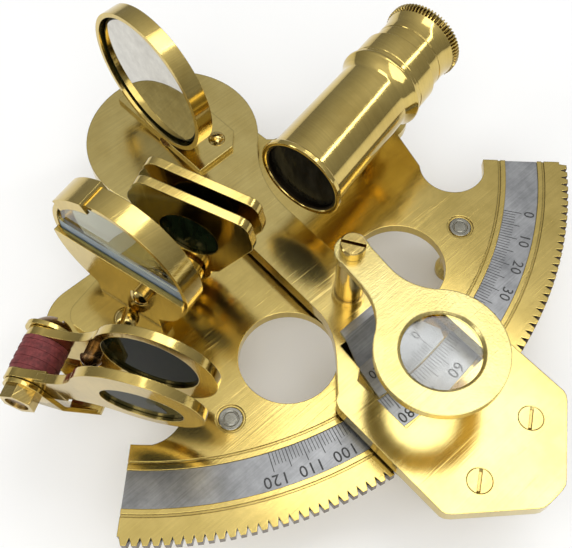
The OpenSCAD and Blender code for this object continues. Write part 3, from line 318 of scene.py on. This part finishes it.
def red_fibre():
    """Pressed fibre of the washers, flecked and dull."""
    mat, tree, bsdf = shader("red_fibre")
    coords = add(tree, "ShaderNodeTexCoord").outputs["Object"]
    fleck = add(tree, "ShaderNodeTexNoise", Scale=900.0, Detail=6.0, Roughness=0.75)
    tree.links.new(coords, fleck.inputs["Vector"])
    reds = [(0.3, (0.06, 0.010, 0.010)), (0.55, (0.19, 0.032, 0.032)), (0.8, (0.30, 0.07, 0.065))]
    tone = ramp(tree, fleck.outputs["Fac"], reds)
    tree.links.new(tone, bsdf.inputs["Base Color"])
    bsdf.inputs["Roughness"].default_value = 0.72
    bump = add(tree, "ShaderNodeBump", Strength=0.6, Distance=0.00008)
    tree.links.new(fleck.outputs["Fac"], bump.inputs["Height"])
    tree.links.new(bump.outputs["Normal"], bsdf.inputs["Normal"])
    return mat


def ink():
    """Blackened engraving."""
    mat, tree, bsdf = shader("engraving")
    coords = add(tree, "ShaderNodeTexCoord").outputs["Object"]
    wear = add(tree, "ShaderNodeTexNoise", Scale=2200.0, Detail=3.0)
    tree.links.new(coords, wear.inputs["Vector"])
    tone = ramp(tree, wear.outputs["Fac"], [(0.35, grey(0.012)), (0.8, grey(0.07))])
    tree.links.new(tone, bsdf.inputs["Base Color"])
    bsdf.inputs["Roughness"].default_value = 0.55
    return mat


# Mesh helpers

def finish_mesh(name, bm, body, mat, smooth=35.0):
    """Makes a piece of the bmesh that rides on the body, smooth but for edges past the angle."""
    mesh = bpy.data.meshes.new(name)
    bm.to_mesh(mesh)
    bm.free()
    mesh.materials.append(mat)
    if smooth:
        mesh.shade_smooth()
        mesh.set_sharp_from_angle(angle=math.radians(smooth))
    obj = bpy.data.objects.new(name, mesh)
    scene.collection.objects.link(obj)
    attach(obj, body)
    return obj


def spun(profile, steps, closed=True):
    """Turns a profile of (radius, distance along the axis) in mm about z. A closed one makes a ring."""
    bm = bmesh.new()
    verts = [bm.verts.new((r * MM, 0.0, z * MM)) for r, z in profile]
    edges = [bm.edges.new((a, b)) for a, b in zip(verts, verts[1:])]
    if closed:
        edges.append(bm.edges.new((verts[-1], verts[0])))
    bmesh.ops.spin(bm, geom=verts + edges, cent=(0, 0, 0), axis=(0, 0, 1), angle=2 * math.pi, steps=steps,
                   use_merge=True)
    bmesh.ops.remove_doubles(bm, verts=bm.verts, dist=1e-7)
    bmesh.ops.recalc_face_normals(bm, faces=bm.faces)
    return bm


def move(x, y, z):
    """Shift in mm."""
    return Matrix.Translation((x * MM, y * MM, z * MM))


def turned_by(degrees, axis):
    """Turn about an axis."""
    return Matrix.Rotation(math.radians(degrees), 4, axis)


def along_telescope():
    """Place with z along the telescope, away from the objective."""
    return move(*TEL_AT) @ turned_by(TEL_AZ, "Z") @ turned_by(90, "Y")


def smooth_node(obj, angle=28.0):
    """Joins the loose triangles of a CAD node for shading only and keeps its edges crisp."""
    weld = obj.modifiers.new("join", "WELD")
    weld.merge_threshold = 1e-6
    split = obj.modifiers.new("edges", "EDGE_SPLIT")
    split.split_angle = math.radians(angle)
    obj.data.shade_smooth()


set_camera()

# Looks: light and deep tone, roughness, strength and turn of the polishing lines

plate = brass("plate_brass", (0.68, 0.52, 0.17), (0.57, 0.43, 0.13), 0.14, 0.22, (0, 0, 25), edge=0.2,
              teeth=True)
arm_plate = brass("arm_brass", (0.70, 0.56, 0.21), (0.61, 0.47, 0.16), 0.15, 0.3, (0, 0, -8), edge=0.25)
turned = brass("turned_brass", (0.70, 0.53, 0.17), (0.60, 0.44, 0.13), 0.09, 0.15, (0, 0, -TEL_AZ),
               (5200, 30, 30), edge=0.1, scratch=0.12)
cell_brass = brass("cell_brass", (0.68, 0.52, 0.17), (0.56, 0.41, 0.12), 0.12, 0.2, (0, 0, 10))
shade_brass = brass("shade_brass", (0.64, 0.48, 0.15), (0.52, 0.38, 0.11), 0.11, 0.22, (0, 0, 60),
                    edge=0.2)
magnifier_brass = brass("magnifier_brass", (0.72, 0.60, 0.25), (0.63, 0.51, 0.19), 0.24, 0.5, (0, 0, 30),
                        (80, 6200, 80), edge=0.3, pebble=0.35)
screw_brass = brass("screw_brass", (0.68, 0.52, 0.19), (0.52, 0.38, 0.12), 0.14, 0.25, edge=0.1)
dark_brass = brass("dark_brass", (0.24, 0.14, 0.06), (0.11, 0.06, 0.025), 0.26, 0.3, edge=0.12)
rivet_metal = brass("rivet_metal", (0.32, 0.31, 0.26), (0.20, 0.19, 0.15), 0.24, 0.4, edge=0.1)
black_inside = brass("blackened_brass", (0.035, 0.026, 0.016), (0.015, 0.012, 0.008), 0.45, 0.4,
                     edge=0.05)
silver = silver_strip()
mirror_face = mirror()
mirror_back = painted_silvering()
shade_glass = dark_glass("shade_glass", (0.004, 0.007, 0.003))
coated_glass = dark_glass("coated_glass", (0.010, 0.009, 0.006))
glass_edge = dark_glass("glass_edge", (0.008, 0.012, 0.010))
lens_glass = clear_glass("clear_glass", (0.96, 0.98, 0.96))
# Painted shade: the clear horizon glass is tinted dark olive so that what shows through it looks shaded.
shade_tinted_glass = clear_glass("horizon_glass", (0.42, 0.43, 0.32))
fibre = red_fibre()
engraving = ink()

LOOKS = {
    plate: ["frame", "legs", "centre_bush", "pivot_cap", "pinion_block", "horizon_bracket"],
    arm_plate: ["index_arm", "index_mirror_bracket"],
    screw_brass: [
        "block_screws", "knob_screw", "index_mirror_screws", "magnifier_screw", "magnifier_post",
        "index_shade_screw", "index_shade_pin", "horizon_bracket_screw", "horizon_adjuster",
        "shade_bracket_screws", "telescope_post_screw", "shade_rod_nut", "pinion_knob", "telescope_post",
    ],
    cell_brass: [
        "index_mirror_cell", "horizon_cell", "horizon_clip", "horizon_shade_bracket", "index_shade_bracket",
    ],
    shade_brass: ["index_shade_front", "index_shade_back", "horizon_shade_rear", "horizon_shade_front"],
    magnifier_brass: ["magnifier_arm"],
    dark_brass: [
        "index_spindle", "spindle_washer", "spindle_nut", "pinion", "index_shade_spacers", "shade_rod",
        "shade_stop",
    ],
    silver: ["scale_strip", "vernier_plate"],
    mirror_face: ["index_mirror_glass"],
    mirror_back: ["horizon_silvering"],
    shade_glass: [
        "index_shade_front_glass", "index_shade_back_glass", "horizon_rear_glass", "horizon_front_glass",
    ],
    shade_tinted_glass: ["horizon_glass"],
    fibre: ["fibre_washers"],
}
for look, names in LOOKS.items():
    for name in names:
        obj = nodes[name]
        obj.data.materials.clear()
        obj.data.materials.append(look)
        smooth_node(obj)


# Telescope

def swell(r, grow, start, length, steps):
    """Points of a profile that flares from a radius to a larger one, rising ever more steeply."""
    return [(r + grow * (1 - math.cos(math.radians(90 * i / steps))), start + length * i / steps)
            for i in range(steps + 1)]


def knurl(bm, teeth, outside, depth):
    """Sinks every second pair of the columns outside a radius. The mesh has four columns to a tooth."""
    step = math.pi / 2 / teeth
    for v in bm.verts:
        r = math.hypot(v.co.x, v.co.y)
        if r > outside * MM and round(math.atan2(v.co.y, v.co.x) / step) % 4 > 1:
            v.co.x *= 1 - depth * MM / r
            v.co.y *= 1 - depth * MM / r


def telescope():
    place = along_telescope()

    def put(name, node, bm, mat, body="frame_body", smooth=35.0, inside=0.0):
        """Inside is the radius under which the faces that look at the axis are blackened."""
        if inside:
            for face in bm.faces:
                c = face.calc_center_median()
                if math.hypot(c.x, c.y) < inside * MM and face.normal.x * c.x + face.normal.y * c.y < 0:
                    face.material_index = 1
        bm.transform(place)
        obj = finish_mesh(name, bm, body, mat, smooth)
        if inside:
            obj.data.materials.append(black_inside)
        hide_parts(node)

    # Lip and tube, collar, then back through the bore to the objective's seat
    tube = [(7.5, 0.3), (7.62, 0.08), (7.8, 0), (8.2, 0), (8.35, 0.15), (8.35, 0.8), (8.2, 1.0), (7.78, 1.05),
            (7.74, 1.3)]
    tube += swell(7.25, 1.15, 23.0, 2.6, 15)
    tube += [(8.4, 26.05), (8.32, 26.3), (8.15, 26.4), (7.96, 26.4), (7.96, 25.4), (7.3, 25.4), (7.3, 24.2),
             (6.6, 24.2), (6.6, 2.4), (7.15, 2.4), (7.15, 0.5)]
    put("scope_tube", "telescope_tube", spun(tube, 144), turned, inside=7.52)

    # Sleeve with a turned groove near the collar
    sleeve = [(7.25, 25.4), (7.9, 25.4), (7.9, 27.3), (7.82, 27.4), (7.82, 27.6), (7.9, 27.7), (7.9, 31.95),
              (7.75, 32.15), (7.6, 32.2), (7.25, 32.2)]
    put("scope_sleeve", "telescope_sleeve", spun(sleeve, 144), turned)

    # Draw tube with a groove, a flare and a knurled flange round the eye hole
    draw = [(6.5, 27.4), (7.2, 27.4), (7.2, 35.0), (7.08, 35.1), (7.08, 35.3), (7.2, 35.4)]
    draw += swell(7.2, 0.45, 36.9, 3.0, 6)
    draw += [(7.66, 39.95), (7.9, 40.05), (7.9, 41.2), (7.7, 41.5), (5.2, 41.5), (4.6, 41.1), (4.0, 40.6),
             (4.0, 40.3), (6.5, 40.3)]
    teeth = 68
    bm = spun(draw, 4 * teeth)
    knurl(bm, teeth, 7.6, 0.5)
    put("scope_eyepiece", "eyepiece", bm, turned, "eyepiece_body", smooth=24.0)

    # The two lenses that show at the ends
    front = spun([(0, 0.75), (2.4, 0.8), (4.8, 0.95), (7.1, 1.3), (7.1, 2.4), (0, 2.4)], 96, closed=False)
    put("scope_objective", "objective_lens", front, coated_glass)
    back = spun([(0, 38.8), (6.45, 38.9), (6.45, 40.1), (3.0, 40.25), (0, 40.28)], 64, closed=False)
    put("scope_eye_lens", "eye_lens", back, coated_glass, "eyepiece_body")


# Scale and vernier engraving

def radial(r, angle, h):
    """Place on the limb with y pointing outwards."""
    a = math.radians(angle)
    return move(r * math.cos(a), r * math.sin(a), h) @ Matrix.Rotation(a - math.pi / 2, 4, "Z")


def mark(bm, inner, outer, width, angle, h):
    """One engraved line between two radii, in mm."""
    made = bmesh.ops.create_cube(bm, size=1.0)
    scale = Matrix.Diagonal([v * MM for v in (width, outer - inner, MARK_HEIGHT)]).to_4x4()
    place = radial((inner + outer) / 2, angle, h)
    bmesh.ops.transform(bm, matrix=place @ scale, verts=made["verts"])


def scale_marks():
    bm = bmesh.new()
    for i in range(DIVISIONS + 1):
        outer, width = (71.05, 0.15) if i % 5 == 0 else (69.9, 0.12)
        mark(bm, SCALE_INNER, outer, width, SCALE_ZERO - DIVISION * i, STRIP_TOP)
    finish_mesh("scale_lines", bm, "frame_body", engraving, 0)


def vernier_marks():
    bm = bmesh.new()
    for i in range(VERNIER_DIVISIONS + 1):
        inner = 64.4 if i % 10 == 0 else 65.0 if i % 5 == 0 else 65.5
        mark(bm, inner, VERNIER_OUTER, 0.12, VERNIER_ZERO - VERNIER_DIVISION * i, VERNIER_TOP)
    finish_mesh("vernier_lines", bm, "arm_body", engraving, 0)


def figures(name, body, size, labels):
    """Engraved numbers, each (text, radius, angle, height), with their tops outwards."""
    bm = bmesh.new()
    for text, r, angle, h in labels:
        curve = bpy.data.curves.new("figure", "FONT")
        curve.body = text
        curve.align_x = "CENTER"
        curve.align_y = "CENTER"
        curve.size = size * MM
        curve.space_character = 1.08
        curve.extrude = 0.015 * MM
        curve.offset = 0.012 * MM
        curve.resolution_u = 3
        obj = bpy.data.objects.new("figure", curve)
        mesh = bpy.data.meshes.new_from_object(obj)
        mesh.transform(radial(r, angle, h))
        bm.from_mesh(mesh)
        bpy.data.objects.remove(obj)
        bpy.data.meshes.remove(mesh)
        bpy.data.curves.remove(curve)
    bmesh.ops.remove_doubles(bm, verts=bm.verts, dist=1e-7)
    finish_mesh(name, bm, body, engraving, 0)


# Glasses and rivets

def magnifier_lens():
    """Thin glass, only just convex on both faces."""
    reach = 7.2
    bulge = 0.05
    rows = 7
    steps = [i / rows for i in range(rows + 1)]
    lower = [(reach * s, 0.25 - bulge * (1 - s ** 2)) for s in steps]
    upper = [(reach * s, 0.75 + bulge * (1 - s ** 2)) for s in reversed(steps)]
    bm = spun(lower + upper, 96, closed=False)
    x, y = MAGNIFIER_POST_AT
    turn = math.radians(-95.8)
    arm_len = 22.9
    arm_height = 17.4
    bm.transform(move(x + arm_len * math.cos(turn), y + arm_len * math.sin(turn), PLATE_TOP + arm_height))
    obj = finish_mesh("magnifier_glass", bm, "magnifier_body", lens_glass, 60.0)
    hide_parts("magnifier_lens")


def index_mirror_glass():
    """The index mirror's glass, with a dark ground edge round the mirror face."""
    face_r = 12.65
    bm = spun([(0, 0.9), (12.6, 0.9), (12.95, 0.97), (13.4, 1.35), (13.44, 1.5), (13.44, 2.65), (0, 2.65)],
              128, closed=False)
    for face in bm.faces:
        c = face.calc_center_median()
        if math.hypot(c.x, c.y) > face_r * MM:
            face.material_index = 1
    bm.transform(move(-2.1, 1.7, PLATE_TOP + 4.1) @ turned_by(1.9, "Z") @ move(-0.2, 0, 15.6)
                 @ turned_by(90, "Z") @ turned_by(90, "X"))
    obj = finish_mesh("index_mirror", bm, "arm_body", mirror_face, 40.0)
    obj.data.materials.append(glass_edge)
    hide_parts("index_mirror_glass")


def leg_rivets():
    """Peened ends of the two legs under the limb, each with a ring turned in it."""
    bm = bmesh.new()
    for side in (-1, 1):
        head = spun([(0, 0), (2.1, 0), (2.1, 0.07), (2.0, 0.13), (1.5, 0.13), (1.38, 0.05), (1.22, 0.05),
                     (1.1, 0.13), (0, 0.14)], 64, closed=False)
        head.transform(move(side * LEG_AT[0], LEG_AT[1], PLATE_TOP - 0.11))
        mesh = bpy.data.meshes.new("head")
        head.to_mesh(mesh)
        head.free()
        bm.from_mesh(mesh)
        bpy.data.meshes.remove(mesh)
    finish_mesh("leg_rivets", bm, "frame_body", rivet_metal, 30.0)


telescope()
index_mirror_glass()
leg_rivets()
scale_marks()
vernier_marks()
figures("scale_numbers", "frame_body", 2.9,
        [(str(n), 72.45, SCALE_ZERO - DIVISION * n, STRIP_TOP) for n in range(0, DIVISIONS + 1, 10)])
figures("vernier_numbers", "arm_body", 2.4,
        [(str(n), 63.3, VERNIER_ZERO - VERNIER_DIVISION * n, VERNIER_TOP) for n in (0, 10, 20)])
magnifier_lens()


# Floor, world and lamps

def studio():
    """Pale floor, grey room that is lighter overhead, and four soft lamps."""
    bm = bmesh.new()
    bmesh.ops.create_grid(bm, x_segments=1, y_segments=1, size=3.0)
    mesh = bpy.data.meshes.new("floor")
    bm.to_mesh(mesh)
    bm.free()
    floor = bpy.data.objects.new("floor", mesh)
    scene.collection.objects.link(floor)
    mat, tree, bsdf = shader("floor")
    bsdf.inputs["Base Color"].default_value = (0.86, 0.86, 0.85, 1.0)
    bsdf.inputs["Roughness"].default_value = 0.9
    bsdf.inputs["Emission Color"].default_value = (1.0, 1.0, 1.0, 1.0)
    glow = 0.13
    ray = add(tree, "ShaderNodeLightPath").outputs
    metal_and_glass = maths(tree, "MAXIMUM", ray["Is Glossy Ray"], ray["Is Transmission Ray"])
    seen = maths(tree, "MAXIMUM", ray["Is Camera Ray"], metal_and_glass)
    tree.links.new(maths(tree, "MULTIPLY", seen, glow), bsdf.inputs["Emission Strength"])
    mesh.materials.append(mat)

    world = bpy.data.worlds.new("studio")
    scene.world = world
    world.use_nodes = True
    tree = world.node_tree
    back = tree.nodes["Background"]
    coords = add(tree, "ShaderNodeTexCoord").outputs["Generated"]
    parts = add(tree, "ShaderNodeSeparateXYZ")
    tree.links.new(coords, parts.inputs["Vector"])
    tones = [(0.0, 0.26), (0.45, 0.36), (0.70, 0.50), (0.84, 0.66), (0.95, 0.95)]
    sky = ramp(tree, parts.outputs["Z"], [(place, grey(value)) for place, value in tones])
    tree.links.new(sky, back.inputs["Color"])
    back.inputs["Strength"].default_value = 1.0

    def lamp(name, at, aim, size, power):
        """Rectangular lamp aimed at a point, in metres and watts."""
        data = bpy.data.lights.new(name, "AREA")
        data.shape = "RECTANGLE"
        data.size, data.size_y = size
        data.energy = power
        obj = bpy.data.objects.new(name, data)
        obj.location = at
        obj.rotation_euler = (Vector(aim) - Vector(at)).to_track_quat("-Z", "Y").to_euler()
        scene.collection.objects.link(obj)

    lamp("overhead", (0.25, 0.00, 0.78), (0, -0.03, 0.02), (0.36, 0.30), 0.85)
    lamp("strip", (0.52, -0.24, 0.68), (0, -0.03, 0.03), (0.05, 0.5), 0.5)
    lamp("window", (-0.55, 0.25, 0.40), (0, -0.03, 0.02), (0.12, 0.5), 0.7)
    lamp("fill", (-0.35, -0.50, 0.75), (0, -0.03, 0.02), (0.8, 0.6), 3.6)


studio()
scene.view_settings.view_transform = "Standard"
